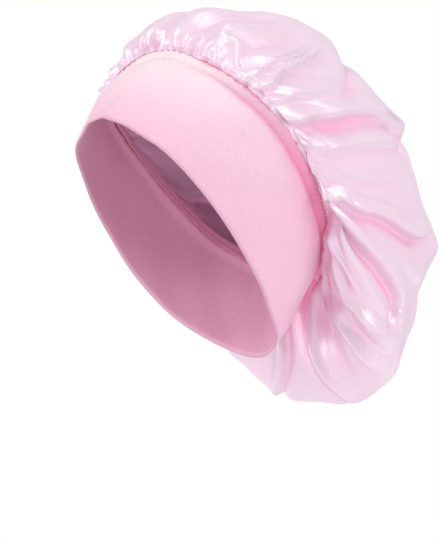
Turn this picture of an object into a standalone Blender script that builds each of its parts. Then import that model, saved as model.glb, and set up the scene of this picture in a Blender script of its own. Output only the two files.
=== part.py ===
# Sleep bonnet, in the form it has when worn: a wide knit band round the head
# and a gathered satin bag that puffs over the crown and hangs behind it.
# Units are metres. The front of the head faces -Y, its left side +X, up is +Z.
# The origin is the middle of the head, behind the middle of the slanting opening.

import math

import bmesh
import bpy
import numpy
from mathutils import Vector

# Sizes of the head opening, along the slanting lower edge of the band
OPENING_LENGTH = 0.161
OPENING_WIDTH = 0.156
OPENING_DROP = 0.184

# The band
BAND_WIDTH = 0.080
BAND_THICKNESS = 0.0022
BAND_BOW = 0.0025

# The bag
CROWN_DEPTH = 0.200
CROWN_HEIGHT = 0.300
CROWN_WIDTH = 0.186
CROWN_THICKNESS = 0.0014
GATHER_COUNT = 28
GATHER_DEPTH = 0.0036
GATHER_END_SHARE = 0.30
GATHER_SINK_SHARE = 0.5
GATHER_START_SHARE = 0.05
FOLD_START_SHARE = 0.06
JOINT_RISE = 0.0026
JOINT_RISE_START_SHARE = 0.016
JOINT_RISE_END_SHARE = 0.15

# The seam allowance inside the joint
ALLOWANCE_WIDTH = 0.0085
ALLOWANCE_THICKNESS = 0.0022
ALLOWANCE_RISE = 0.0012

# Room left between two pieces that touch
FIT_GAP = 0.0003

# How finely each piece is divided
COLUMN_COUNT = 112
FOLD_STEP_COUNT = 10
TURN_STEP_COUNT = 720
BAND_RING_SHARES = (0.28, 0.55, 0.80)

# How the bag's sections change their form
BLEND_END_SHARE = 0.5
SQUARE_SHARE = 0.45
SIDE_POWER = 1.5
TOP_SQUARE_SHARE = 0.35
LEAST_SQUARED_STEP = 1e-9

# The gathers wander round the joint by a sum of slow waves, and some stand
# higher than others. size and height: shares. waves: count. start: radians.
GATHER_DRIFT_SHARES = (
    # size, waves, start
    (0.9, 3, 1.0),
    (0.5, 7, 2.0),
)
GATHER_HEIGHT_SHARES = (
    # size, waves, start
    (0.8, 0, 0.5 * math.pi),
    (0.2, 5, 0.6),
)

# Outline of the seam allowance. inward: share of ALLOWANCE_THICKNESS from the
# band's inner face. rise: share of ALLOWANCE_WIDTH above its lower end. round:
# share of ALLOWANCE_THICKNESS added to the rise.
ALLOWANCE_OUTLINE_SHARES = (
    # inward, rise, round
    (0.0, 1.0, 0.0),
    (0.0, 0.0, 0.0),
    (0.5, 0.0, -0.3),
    (1.0, 0.0, 0.3),
    (1.0, 1.0, -0.3),
    (0.5, 1.0, 0.2),
)

# Stations of the band from the forehead round to the nape; the other side
# mirrors them. forward: share of OPENING_LENGTH. side: share of half of
# OPENING_WIDTH. up: share of OPENING_DROP. back, out, rise: the way from the
# lower edge to the joint, as shares of BAND_WIDTH.
BAND_STATION_SHARES = (
    # forward, side, up, back, out, rise
    (0.62, 0.00, 0.49, 0.74, 0.00, 0.65),
    (0.62, 0.16, 0.48, 0.74, 0.20, 0.61),
    (0.58, 0.37, 0.44, 0.72, 0.36, 0.56),
    (0.51, 0.63, 0.36, 0.72, 0.42, 0.51),
    (0.38, 0.81, 0.22, 0.76, 0.34, 0.53),
    (0.23, 0.90, 0.05, 0.77, 0.22, 0.59),
    (0.07, 0.89, -0.12, 0.75, 0.12, 0.65),
    (-0.08, 0.78, -0.27, 0.70, 0.05, 0.71),
    (-0.21, 0.58, -0.38, 0.64, 0.00, 0.77),
    (-0.30, 0.31, -0.45, 0.60, -0.01, 0.80),
    (-0.33, 0.00, -0.48, 0.58, 0.00, 0.81),
)

# Sections of the bag from the joint to its far end. Each is an oval between a
# top point and a bottom point. back: share of CROWN_DEPTH. up: share of
# CROWN_HEIGHT. half: share of CROWN_WIDTH. lift: how much higher the sides
# sit, share of CROWN_HEIGHT. square: 0 for an oval, 1 for a boxy hanging form.
CROWN_SECTION_SHARES = (
    # top_back, top_up, low_back, low_up, half, lift, square
    (-0.20, 0.49, 0.51, -0.08, 0.45, 0.00, 0.0),
    (-0.19, 0.54, 0.52, -0.17, 0.48, 0.00, 0.2),
    (-0.08, 0.58, 0.54, -0.31, 0.49, 0.01, 0.6),
    (0.13, 0.58, 0.60, -0.40, 0.50, 0.00, 1.0),
    (0.38, 0.58, 0.70, -0.41, 0.48, 0.00, 0.7),
    (0.60, 0.51, 0.80, -0.36, 0.45, 0.00, 0.6),
    (0.78, 0.41, 0.90, -0.25, 0.40, 0.00, 0.3),
    (0.87, 0.26, 1.01, -0.10, 0.28, 0.00, 0.2),
    (0.95, 0.06, 0.95, 0.06, 0.00, 0.00, 0.0),
)

# Where the rings of the bag lie between the joint, 0, and the far end, 1
RING_WAY_SHARES = (
    0.000, 0.016, 0.040, 0.074, 0.115, 0.165, 0.222, 0.284,
    0.350, 0.420, 0.490, 0.565, 0.645, 0.730, 0.820, 0.910,
)

# Main folds of the bag. turn: degrees from the front towards the left side.
# way: 0 at the joint, 1 at the far end. wide and high: shares of CROWN_WIDTH,
# high below zero for a hollow.
CROWN_FOLD_SHARES = (
    # turn_a, way_a, turn_b, way_b, turn_c, way_c, wide, high
    (-6, 0.08, -4, 0.28, 2, 0.52, 0.060, 0.010),
    (3, 0.06, 4, 0.22, 8, 0.42, 0.045, -0.016),
    (12, 0.06, 10, 0.24, 14, 0.46, 0.045, 0.012),
    (25, 0.08, 20, 0.24, 18, 0.42, 0.045, -0.024),
    (36, 0.06, 30, 0.24, 22, 0.42, 0.045, 0.018),
    (44, 0.06, 40, 0.26, 31, 0.44, 0.040, -0.026),
    (51, 0.04, 53, 0.24, 40, 0.45, 0.046, 0.026),
    (61, 0.05, 61, 0.22, 54, 0.40, 0.042, -0.030),
    (14, 0.66, 34, 0.58, 64, 0.45, 0.065, -0.044),
    (18, 0.72, 34, 0.70, 48, 0.66, 0.100, -0.020),
    (68, 0.03, 68, 0.30, 64, 0.46, 0.044, 0.026),
    (64, 0.46, 57, 0.60, 49, 0.73, 0.055, 0.026),
    (75, 0.08, 73, 0.28, 69, 0.50, 0.045, -0.036),
    (69, 0.50, 64, 0.62, 57, 0.74, 0.055, -0.024),
    (78, 0.04, 79, 0.33, 68, 0.69, 0.050, 0.020),
    (82, 0.03, 82, 0.36, 76, 0.60, 0.040, -0.022),
    (66, 0.70, 76, 0.78, 85, 0.82, 0.085, -0.062),
    (86, 0.04, 86, 0.37, 86, 0.64, 0.045, 0.018),
    (95, 0.08, 90, 0.41, 97, 0.78, 0.046, 0.034),
    (100, 0.08, 94, 0.41, 101, 0.72, 0.040, -0.026),
    (103, 0.08, 94, 0.31, 97, 0.45, 0.038, 0.022),
    (97, 0.45, 105, 0.50, 117, 0.52, 0.042, 0.024),
    (110, 0.10, 105, 0.26, 106, 0.42, 0.050, -0.048),
    (114, 0.05, 119, 0.20, 116, 0.36, 0.038, 0.026),
    (123, 0.06, 127, 0.20, 128, 0.36, 0.036, -0.030),
    (132, 0.03, 140, 0.16, 142, 0.36, 0.044, 0.032),
    (150, 0.06, 155, 0.20, 152, 0.36, 0.042, -0.030),
    (166, 0.05, 168, 0.22, 163, 0.42, 0.048, 0.024),
    (180, 0.08, 178, 0.24, 178, 0.42, 0.044, -0.024),
    (116, 0.60, 122, 0.72, 132, 0.86, 0.070, -0.032),
    (126, 0.58, 136, 0.64, 142, 0.62, 0.080, -0.020),
    (146, 0.54, 150, 0.66, 152, 0.82, 0.060, 0.012),
    (165, 0.50, 166, 0.66, 170, 0.84, 0.060, -0.022),
)

# The side away from the view carries the same folds, a little lower
HIDDEN_SIDE_SHARE = 0.75
HIDDEN_SIDE_SHIFT_ANGLE = -4.0

# Colour and sheen of each piece
BAND_COLOUR = (0.87, 0.52, 0.66, 1.0)
CROWN_COLOUR = (0.90, 0.74, 0.83, 1.0)
SEAM_COLOUR = (0.80, 0.44, 0.58, 1.0)
BAND_ROUGHNESS = 0.85
CROWN_ROUGHNESS = 0.32
SEAM_ROUGHNESS = 0.75


def spline(before, start, end, after, share):
    """Smooth curve through start and end, led by the rows either side."""
    square = share * share
    cube = square * share
    return 0.5 * (
        2 * start
        + (end - before) * share
        + (2 * before - 5 * start + 4 * end - after) * square
        + (3 * start - before - 3 * end + after) * cube
    )


def station(turn):
    """The band's row at an angle, 0 at the front and growing to the left."""
    last = len(BAND_STATION_SHARES) - 1
    half_turn = (turn % math.tau) / math.pi
    side = 1.0
    if half_turn > 1.0:
        half_turn = 2.0 - half_turn
        side = -1.0

    def row(index):
        mirrored = index < 0 or index > last
        kept = abs(index)
        if kept > last:
            kept = 2 * last - kept
        values = numpy.array(BAND_STATION_SHARES[kept], dtype=float)
        if mirrored:
            values[1] = -values[1]
            values[4] = -values[4]
        return values

    place = half_turn * last
    index = min(int(place), last - 1)
    values = spline(row(index - 1), row(index), row(index + 1), row(index + 2), place - index)
    values[1] *= side
    values[4] *= side
    return values


def band_line(turn, share):
    """A point of the band's outer face, share 0 at its lower edge, 1 at the joint."""
    forward, side, up, back, out, rise = station(turn)
    edge = numpy.array((
        side * OPENING_WIDTH / 2,
        -forward * OPENING_LENGTH,
        up * OPENING_DROP,
    ))
    across = BAND_WIDTH * numpy.array((out, back, rise))
    return edge + across * share


def band_frame(turn, share):
    """Point, outward direction and upward direction of the band's outer face."""
    step = math.tau / TURN_STEP_COUNT
    point = band_line(turn, share)
    around = band_line(turn + step, share) - band_line(turn - step, share)
    upward = band_line(turn, 1.0) - band_line(turn, 0.0)
    upward = upward / numpy.linalg.norm(upward)
    outward = numpy.cross(around, upward)
    outward = outward / numpy.linalg.norm(outward)
    bow = BAND_BOW * math.sin(math.pi * min(1.0, max(0.0, share)))
    return point + outward * bow, outward, upward


def section(way):
    """The bag's row between the joint, 0, and the far end, 1."""
    last = len(CROWN_SECTION_SHARES) - 1

    def row(index):
        if index < 0:
            first = numpy.array(CROWN_SECTION_SHARES[0], dtype=float)
            return 2 * first - numpy.array(CROWN_SECTION_SHARES[-index], dtype=float)
        if index > last:
            values = numpy.array(CROWN_SECTION_SHARES[2 * last - index], dtype=float)
            values = values[[2, 3, 0, 1, 4, 5, 6]]
            values[4] = -values[4]
            return values
        return numpy.array(CROWN_SECTION_SHARES[index], dtype=float)

    place = way * last
    index = min(int(place), last - 1)
    return spline(row(index - 1), row(index), row(index + 1), row(index + 2), place - index)


def oval_point(values, turn, square):
    """A point of one oval section of the bag."""
    top_back, top_up, low_back, low_up, half, lift, _ = values
    top = numpy.array((0.0, top_back * CROWN_DEPTH, top_up * CROWN_HEIGHT))
    low = numpy.array((0.0, low_back * CROWN_DEPTH, low_up * CROWN_HEIGHT))
    cosine = math.cos(turn)
    sine = math.sin(turn)
    boxy = square if cosine < 0 else square * TOP_SQUARE_SHARE
    power = 1 - SQUARE_SHARE * boxy
    along = math.copysign(abs(cosine) ** power, cosine)
    across = math.copysign(abs(sine) ** power, sine)
    sideways = numpy.array((
        half * CROWN_WIDTH * across,
        0.0,
        lift * CROWN_HEIGHT * abs(sine) ** SIDE_POWER,
    ))
    return (top + low) / 2 + (top - low) / 2 * along + sideways


def crown_base(turn, way):
    """A point of the bag before its gathers and folds."""
    values = section(way)
    point = oval_point(values, turn, max(0.0, values[6]))
    near = max(0.0, 1.0 - way / BLEND_END_SHARE)
    near = near * near * (3 - 2 * near)
    start = oval_point(section(0.0), turn, 0.0)
    return point + (crown_edge(turn) - start) * near


def crown_edge(turn):
    """The joint line, where the bag's edge meets the band."""
    point, outward, upward = band_frame(turn, 1.0)
    return point + upward * FIT_GAP


def polyline_distance(points, line):
    """Distance of every point from a line of short straight steps."""
    best = numpy.full(len(points), numpy.inf)
    for start, end in zip(line[:-1], line[1:]):
        along = end - start
        length = max(float(along @ along), LEAST_SQUARED_STEP)
        share = numpy.clip((points - start) @ along / length, 0.0, 1.0)
        gap = points - start - share[:, None] * along
        best = numpy.minimum(best, numpy.sqrt((gap * gap).sum(axis=1)))
    return best


def fold_line(fold, side):
    """The base points a fold runs along, on the left side or the other one."""
    shift = 0.0 if side > 0 else HIDDEN_SIDE_SHIFT_ANGLE
    turns = (fold[0], fold[2], fold[4])
    ways = (fold[1], fold[3], fold[5])
    line = []
    for step in range(FOLD_STEP_COUNT + 1):
        share = step / FOLD_STEP_COUNT
        first = (1 - share) * (1 - 2 * share)
        middle = 4 * share * (1 - share)
        final = share * (2 * share - 1)
        turn = first * turns[0] + middle * turns[1] + final * turns[2]
        way = first * ways[0] + middle * ways[1] + final * ways[2]
        line.append(crown_base(side * math.radians(turn + shift), way))
    return numpy.array(line)


def slow_waves(table, turn):
    """Sum of the slow waves of a table, round the joint."""
    return sum(size * math.sin(waves * turn + start) for size, waves, start in table)


def gather(turn, way):
    """Height of the small gathers that start at the joint and die out."""
    drift = slow_waves(GATHER_DRIFT_SHARES, turn)
    wave = math.cos(GATHER_COUNT * turn + drift) - GATHER_SINK_SHARE
    strength = slow_waves(GATHER_HEIGHT_SHARES, turn)
    rise = min(1.0, way / GATHER_START_SHARE)
    fall = max(0.0, 1.0 - way / GATHER_END_SHARE)
    return GATHER_DEPTH * wave * strength * rise * fall


def face_normals(rings, end):
    """Outward direction at every point of a set of rings that close at end."""
    around = numpy.roll(rings, -1, axis=1) - numpy.roll(rings, 1, axis=1)
    padded = numpy.concatenate((rings, numpy.broadcast_to(end, rings[:1].shape)))
    along = numpy.empty_like(rings)
    along[1:] = padded[2:] - padded[:-2]
    along[0] = padded[1] - padded[0]
    normals = numpy.cross(around, along)
    return normals / numpy.linalg.norm(normals, axis=2, keepdims=True)


def crown_walls():
    """Outer and inner rings of the bag with its folds, each with its far end."""
    turns = [math.tau * column / COLUMN_COUNT for column in range(COLUMN_COUNT)]
    base = numpy.array([[crown_base(turn, way) for turn in turns] for way in RING_WAY_SHARES])
    end = crown_base(0.0, 1.0)
    normals = face_normals(base, end)
    heights = numpy.zeros(base.shape[:2])
    flat = base.reshape(-1, 3)
    for side, share in ((1, 1.0), (-1, HIDDEN_SIDE_SHARE)):
        for fold in CROWN_FOLD_SHARES:
            distance = polyline_distance(flat, fold_line(fold, side))
            reach = distance / (fold[6] * CROWN_WIDTH)
            lift = share * fold[7] * CROWN_WIDTH * numpy.exp(-reach * reach)
            heights += lift.reshape(heights.shape)
    for ring, way in enumerate(RING_WAY_SHARES):
        ease = min(1.0, way / FOLD_START_SHARE)
        for column, turn in enumerate(turns):
            heights[ring, column] = heights[ring, column] * ease + gather(turn, way)
    outer = base + normals * heights[:, :, None]
    frames = [band_frame(turn, 1.0) for turn in turns]
    upwards = numpy.array([frame[2] for frame in frames])
    outwards = numpy.array([frame[1] for frame in frames])
    for ring, way in enumerate(RING_WAY_SHARES):
        rise = min(1.0, way / JOINT_RISE_START_SHARE) * max(0.0, 1.0 - way / JOINT_RISE_END_SHARE)
        outer[ring] += upwards * JOINT_RISE * rise
    walls = face_normals(outer, end)
    walls[0] = outwards
    walls[1] += outwards
    walls /= numpy.linalg.norm(walls, axis=2, keepdims=True)
    inner = outer - walls * CROWN_THICKNESS
    lean = walls[-1].mean(axis=0)
    lean = lean / numpy.linalg.norm(lean)
    return outer, end, inner, end - lean * CROWN_THICKNESS


def first_ring(mesh, points):
    """Start a surface: one closed ring of points and the edges between them."""
    verts = [mesh.verts.new(point) for point in points]
    count = len(verts)
    edges = [mesh.edges.new((verts[i], verts[(i + 1) % count])) for i in range(count)]
    return verts, edges


def next_ring(mesh, verts, edges, points):
    """Extrude the last ring and set the new ring on the given points."""
    made = bmesh.ops.extrude_edge_only(mesh, edges=edges)["geom"]
    new = {item for item in made if isinstance(item, bmesh.types.BMVert)}
    ordered = []
    for vert, point in zip(verts, points):
        follower = next(edge.other_vert(vert) for edge in vert.link_edges
                        if edge.other_vert(vert) in new)
        follower.co = Vector(point)
        ordered.append(follower)
    count = len(ordered)
    new_edges = []
    for i in range(count):
        pair = (ordered[i], ordered[(i + 1) % count])
        new_edges.append(mesh.edges.get(pair))
    return ordered, new_edges


def piece(name, mesh, colour, roughness):
    """Turn a finished surface into a named piece with its own material."""
    bmesh.ops.recalc_face_normals(mesh, faces=mesh.faces[:])
    data = bpy.data.meshes.new(name)
    mesh.to_mesh(data)
    mesh.free()
    item = bpy.data.objects.new(name, data)
    bpy.context.scene.collection.objects.link(item)
    material = bpy.data.materials.new(name)
    material.use_nodes = True
    shader = material.node_tree.nodes["Principled BSDF"]
    shader.inputs["Base Color"].default_value = colour
    shader.inputs["Roughness"].default_value = roughness
    data.materials.append(material)
    return item


def ring_body(name, rings, colour, roughness):
    """A closed tube-like loop through rings of points."""
    mesh = bmesh.new()
    verts, edges = first_ring(mesh, rings[0])
    first_edges = edges
    for ring in rings[1:]:
        verts, edges = next_ring(mesh, verts, edges, ring)
    bmesh.ops.bridge_loops(mesh, edges=first_edges + edges)
    return piece(name, mesh, colour, roughness)


def make_band():
    """The knit band: folded at its lower edge, open at the joint."""
    turns = [math.tau * column / COLUMN_COUNT for column in range(COLUMN_COUNT)]
    half = BAND_THICKNESS / 2
    round_share = half / BAND_WIDTH
    outer_shares = (round_share, *BAND_RING_SHARES, 1.0)
    inner_shares = outer_shares[::-1]
    rings = []
    for share in outer_shares:
        rings.append([band_frame(turn, share)[0] for turn in turns])
    for share in inner_shares:
        ring = []
        for turn in turns:
            point, outward, upward = band_frame(turn, share)
            ring.append(point - outward * BAND_THICKNESS)
        rings.append(ring)
    low = []
    for turn in turns:
        point, outward, upward = band_frame(turn, round_share)
        low.append(point - outward * half - upward * half)
    rings.append(low)
    return ring_body("band", rings, BAND_COLOUR, BAND_ROUGHNESS)


def closed_bag(mesh, rings, end):
    """Rings extruded from the edge to the far end, closed there in a point."""
    verts, edges = first_ring(mesh, rings[0])
    edge_loop = edges
    for ring in rings[1:]:
        verts, edges = next_ring(mesh, verts, edges, ring)
    verts, edges = next_ring(mesh, verts, edges, [end] * len(verts))
    bmesh.ops.pointmerge(mesh, verts=verts, merge_co=Vector(end))
    return edge_loop


def make_crown():
    """The satin bag: one thin wall, gathered at the joint and closed behind."""
    outer, end, inner, inner_end = crown_walls()
    mesh = bmesh.new()
    outer_loop = closed_bag(mesh, outer, end)
    inner_loop = closed_bag(mesh, inner, inner_end)
    bmesh.ops.bridge_loops(mesh, edges=outer_loop + inner_loop)
    return piece("crown", mesh, CROWN_COLOUR, CROWN_ROUGHNESS)


def make_gathered_seam():
    """The overlocked seam allowance, a flat soft ring inside the joint."""
    turns = [math.tau * column / COLUMN_COUNT for column in range(COLUMN_COUNT)]
    face = BAND_THICKNESS + FIT_GAP
    low = ALLOWANCE_RISE - ALLOWANCE_WIDTH
    outline = []
    for inward, rise, rounded in ALLOWANCE_OUTLINE_SHARES:
        height = low + rise * ALLOWANCE_WIDTH + rounded * ALLOWANCE_THICKNESS
        outline.append((face + inward * ALLOWANCE_THICKNESS, height))
    rings = []
    for inward, upwards in outline:
        ring = []
        for turn in turns:
            point, outward, upward = band_frame(turn, 1.0)
            ring.append(point - outward * inward + upward * upwards)
        rings.append(ring)
    return ring_body("gathered_seam", rings, SEAM_COLOUR, SEAM_ROUGHNESS)


for old in list(bpy.data.objects):
    bpy.data.objects.remove(old, do_unlink=True)

make_band()
make_crown()
make_gathered_seam()
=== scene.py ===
import math

import bmesh
import bpy
import numpy as np
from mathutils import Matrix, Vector, noise


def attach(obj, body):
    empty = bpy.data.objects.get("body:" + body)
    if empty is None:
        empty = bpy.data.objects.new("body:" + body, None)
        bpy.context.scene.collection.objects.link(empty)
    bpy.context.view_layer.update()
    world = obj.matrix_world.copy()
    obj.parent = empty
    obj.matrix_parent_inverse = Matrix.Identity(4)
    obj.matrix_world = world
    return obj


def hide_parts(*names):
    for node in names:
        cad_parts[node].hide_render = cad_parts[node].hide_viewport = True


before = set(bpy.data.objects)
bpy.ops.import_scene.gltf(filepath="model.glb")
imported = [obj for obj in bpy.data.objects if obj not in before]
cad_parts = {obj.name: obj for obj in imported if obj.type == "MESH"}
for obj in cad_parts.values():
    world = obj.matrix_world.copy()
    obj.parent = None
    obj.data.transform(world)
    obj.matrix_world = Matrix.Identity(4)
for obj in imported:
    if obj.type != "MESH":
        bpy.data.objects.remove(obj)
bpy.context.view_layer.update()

# Looks of a satin sleep bonnet in its worn form: a stretch-knit band, a gathered
# satin bag, and the overlocked seam between them. Metres, the head faces -Y.

scene = bpy.context.scene
scene.view_settings.view_transform = "Standard"
scene.view_settings.look = "None"

# sizes and tables shared by all pieces, the same as the solids use

bonnetSizes = {
    "openingLength": 0.161,
    "openingWidth": 0.156,
    "openingDrop": 0.184,
    "bandWidth": 0.080,
    "crownDepth": 0.200,
    "crownHeight": 0.300,
    "crownWidth": 0.186,
    "fitGap": 0.0003,
    "blendEnd": 0.5,          # where the bag has lost the joint's form
    "square": 0.45,           # how boxy its hanging half gets
    "topSquare": 0.35,        # share of that on its upper half
    "sidePower": 1.5,
}

bandStations = np.array((
    # forward, side, up, back, out, rise, from the forehead round to the nape
    (0.62, 0.00, 0.49, 0.74, 0.00, 0.65),
    (0.62, 0.16, 0.48, 0.74, 0.20, 0.61),
    (0.58, 0.37, 0.44, 0.72, 0.36, 0.56),
    (0.51, 0.63, 0.36, 0.72, 0.42, 0.51),
    (0.38, 0.81, 0.22, 0.76, 0.34, 0.53),
    (0.23, 0.90, 0.05, 0.77, 0.22, 0.59),
    (0.07, 0.89, -0.12, 0.75, 0.12, 0.65),
    (-0.08, 0.78, -0.27, 0.70, 0.05, 0.71),
    (-0.21, 0.58, -0.38, 0.64, 0.00, 0.77),
    (-0.30, 0.31, -0.45, 0.60, -0.01, 0.80),
    (-0.33, 0.00, -0.48, 0.58, 0.00, 0.81),
))

crownSections = np.array((
    # topBack, topUp, lowBack, lowUp, half, lift, square, from the joint to the far end
    (-0.20, 0.49, 0.51, -0.08, 0.45, 0.00, 0.0),
    (-0.19, 0.54, 0.52, -0.17, 0.48, 0.00, 0.2),
    (-0.08, 0.58, 0.54, -0.31, 0.49, 0.01, 0.6),
    (0.13, 0.58, 0.60, -0.40, 0.50, 0.00, 1.0),
    (0.38, 0.58, 0.70, -0.41, 0.48, 0.00, 0.7),
    (0.60, 0.51, 0.80, -0.36, 0.45, 0.00, 0.6),
    (0.78, 0.41, 0.90, -0.25, 0.40, 0.00, 0.3),
    (0.87, 0.26, 1.01, -0.10, 0.28, 0.00, 0.2),
    (0.95, 0.06, 0.95, 0.06, 0.00, 0.00, 0.0),
))


def splineBetween(before, start, end, after, share):
    return 0.5 * (2 * start + (end - before) * share
                  + (2 * before - 5 * start + 4 * end - after) * share ** 2
                  + (3 * start - before - 3 * end + after) * share ** 3)


def asideOf(turn):
    # turn away from the front, the same on both sides
    return np.minimum(turn % math.tau, math.tau - turn % math.tau)


def splineRows(rows, place):
    # smooth rows between a table's rows; the table comes with two spare rows at each end
    index = np.clip(place.astype(int), 0, len(rows) - 5)
    share = (place - index)[:, None]
    return splineBetween(*(rows[index + k] for k in (1, 2, 3, 4)), share)


def stationsAt(turn):
    flip = np.array((1, -1, 1, 1, -1, 1))
    rows = np.vstack((bandStations[2] * flip, bandStations[1] * flip, bandStations,
                      bandStations[-2] * flip, bandStations[-3] * flip))
    half = (turn % math.tau) / math.pi
    side = np.where(half > 1, -1.0, 1.0)
    half = np.where(half > 1, 2 - half, half)
    last = len(bandStations) - 1
    values = splineRows(rows, np.minimum(half * last, last - 0.000001))
    values[:, 1] *= side
    values[:, 4] *= side
    return values


def bandLine(turn, share):
    # points of the band's outer face, share 0 at the lower edge and 1 at the joint
    size = bonnetSizes
    rows = stationsAt(turn)
    edge = np.stack((rows[:, 1] * size["openingWidth"] / 2,
                     -rows[:, 0] * size["openingLength"],
                     rows[:, 2] * size["openingDrop"]), axis=1)
    across = size["bandWidth"] * np.stack((rows[:, 4], rows[:, 3], rows[:, 5]), axis=1)
    return edge + across * np.asarray(share)[..., None]


def unit(vectors):
    return vectors / np.linalg.norm(vectors, axis=-1, keepdims=True)


def bandFrame(turn, share):
    # point, outward and upward directions of the band's outer face
    step = math.tau / 720
    around = bandLine(turn + step, share) - bandLine(turn - step, share)
    upward = unit(bandLine(turn, np.ones(len(turn))) - bandLine(turn, np.zeros(len(turn))))
    outward = unit(np.cross(around, upward))
    return bandLine(turn, share), outward, upward


def sectionsAt(way):
    swap = [2, 3, 0, 1, 4, 5, 6]
    mirror = np.array((1, 1, 1, 1, -1, 1, 1))
    first, past = crownSections[0], crownSections[:, swap] * mirror
    rows = np.vstack((2 * first - crownSections[2], 2 * first - crownSections[1],
                      crownSections, past[-2], past[-3]))
    last = len(crownSections) - 1
    return splineRows(rows, np.minimum(way * last, last - 0.000001))


def ovalPoints(rows, turn, square):
    size = bonnetSizes
    zero = np.zeros(len(turn))
    top, low = (np.stack((zero, rows[:, k] * size["crownDepth"],
                          rows[:, k + 1] * size["crownHeight"]), axis=1) for k in (0, 2))
    cosine, sine = np.cos(turn), np.sin(turn)
    power = 1 - size["square"] * np.where(cosine < 0, square, square * size["topSquare"])
    along = np.sign(cosine) * np.abs(cosine) ** power
    across = np.sign(sine) * np.abs(sine) ** power
    sideways = np.stack((rows[:, 4] * size["crownWidth"] * across, zero,
                         rows[:, 5] * size["crownHeight"]
                         * np.abs(sine) ** size["sidePower"]), axis=1)
    return (top + low) / 2 + (top - low) / 2 * along[:, None] + sideways


def crownBase(turn, way):
    # the bag before its gathers and folds
    rows = sectionsAt(way)
    points = ovalPoints(rows, turn, np.maximum(0, rows[:, 6]))
    near = np.maximum(0, 1 - way / bonnetSizes["blendEnd"])
    near = near * near * (3 - 2 * near)
    edge, _, upward = bandFrame(turn, np.ones(len(turn)))
    edge = edge + upward * bonnetSizes["fitGap"]
    start = ovalPoints(sectionsAt(np.zeros(len(turn))), turn, 0.0)
    return points + (edge - start) * near[:, None]


def crownNormals(turn, way):
    step = 0.004
    around = crownBase(turn + step, way) - crownBase(turn - step, way)
    along = (crownBase(turn, np.minimum(way + step, 0.995))
             - crownBase(turn, np.maximum(way - step, 0.0)))
    cross = np.cross(around, along)
    return cross / np.maximum(np.linalg.norm(cross, axis=1, keepdims=True), 1e-9)


# materials

def nodeSetup(name):
    material = bpy.data.materials.new(name)
    material.use_nodes = True
    tree = material.node_tree
    return material, tree, tree.nodes["Principled BSDF"]


def hollowGlow(nodes, links, shader, shade, look, tone):
    # painted glow: the cloth's deepest painted shade gives off deep pink light, standing in for light
    # through the thin cloth that reddens its deepest shadows
    shader.inputs["Emission Color"].default_value = tone
    glow = nodes.new("ShaderNodeMapRange")
    glow.inputs["From Min"].default_value = 0.45
    glow.inputs["To Max"].default_value = look["glow"]
    links.new(shade.outputs["Fac"], glow.inputs["Value"])
    links.new(glow.outputs["Result"], shader.inputs["Emission Strength"])


def knitWeave():
    # fine stretch knit: rib columns and rows by the piece's own UV, in millimetres
    group = bpy.data.node_groups.new("knitWeave", "ShaderNodeTree")
    face = group.interface
    face.new_socket("Columns", in_out="INPUT", socket_type="NodeSocketFloat")
    face.new_socket("Rows", in_out="INPUT", socket_type="NodeSocketFloat")
    face.new_socket("Height", in_out="OUTPUT", socket_type="NodeSocketFloat")
    face.new_socket("Fuzz", in_out="OUTPUT", socket_type="NodeSocketFloat")
    nodes, links = group.nodes, group.links
    start, end = nodes.new("NodeGroupInput"), nodes.new("NodeGroupOutput")
    uv = nodes.new("ShaderNodeUVMap")
    uv.uv_map = "clothMap"
    split = nodes.new("ShaderNodeSeparateXYZ")
    links.new(uv.outputs["UV"], split.inputs[0])

    def wave(axis, count):
        times = nodes.new("ShaderNodeMath")
        times.operation = "MULTIPLY"
        links.new(split.outputs[axis], times.inputs[0])
        links.new(start.outputs[count], times.inputs[1])
        sine = nodes.new("ShaderNodeMath")
        sine.operation = "SINE"
        links.new(times.outputs[0], sine.inputs[0])
        return sine.outputs[0]

    both = nodes.new("ShaderNodeMath")
    both.operation = "MULTIPLY_ADD"
    both.inputs[1].default_value = 0.5
    links.new(wave(1, "Rows"), both.inputs[0])
    links.new(wave(0, "Columns"), both.inputs[2])
    links.new(both.outputs[0], end.inputs["Height"])
    where = nodes.new("ShaderNodeTexCoord")
    fuzz = nodes.new("ShaderNodeTexNoise")
    fuzz.inputs["Scale"].default_value = 420
    fuzz.inputs["Detail"].default_value = 3
    links.new(where.outputs["Object"], fuzz.inputs["Vector"])
    links.new(fuzz.outputs["Fac"], end.inputs["Fuzz"])
    return group


knitGroup = knitWeave()

bandLook = {
    # the knit's pink in painted light and shade: pale where lit, mid, and deep pink in painted shade
    "paleKnit": (0.97, 0.80, 0.83, 1),
    "midKnit": (0.88, 0.53, 0.68, 1),
    "deepKnit": (0.72, 0.20, 0.36, 1),
    "roughness": 0.82,
    "sheen": 0.35,
    # painted glow in the band's deepest painted shade
    "glow": 0.28,
}


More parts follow.
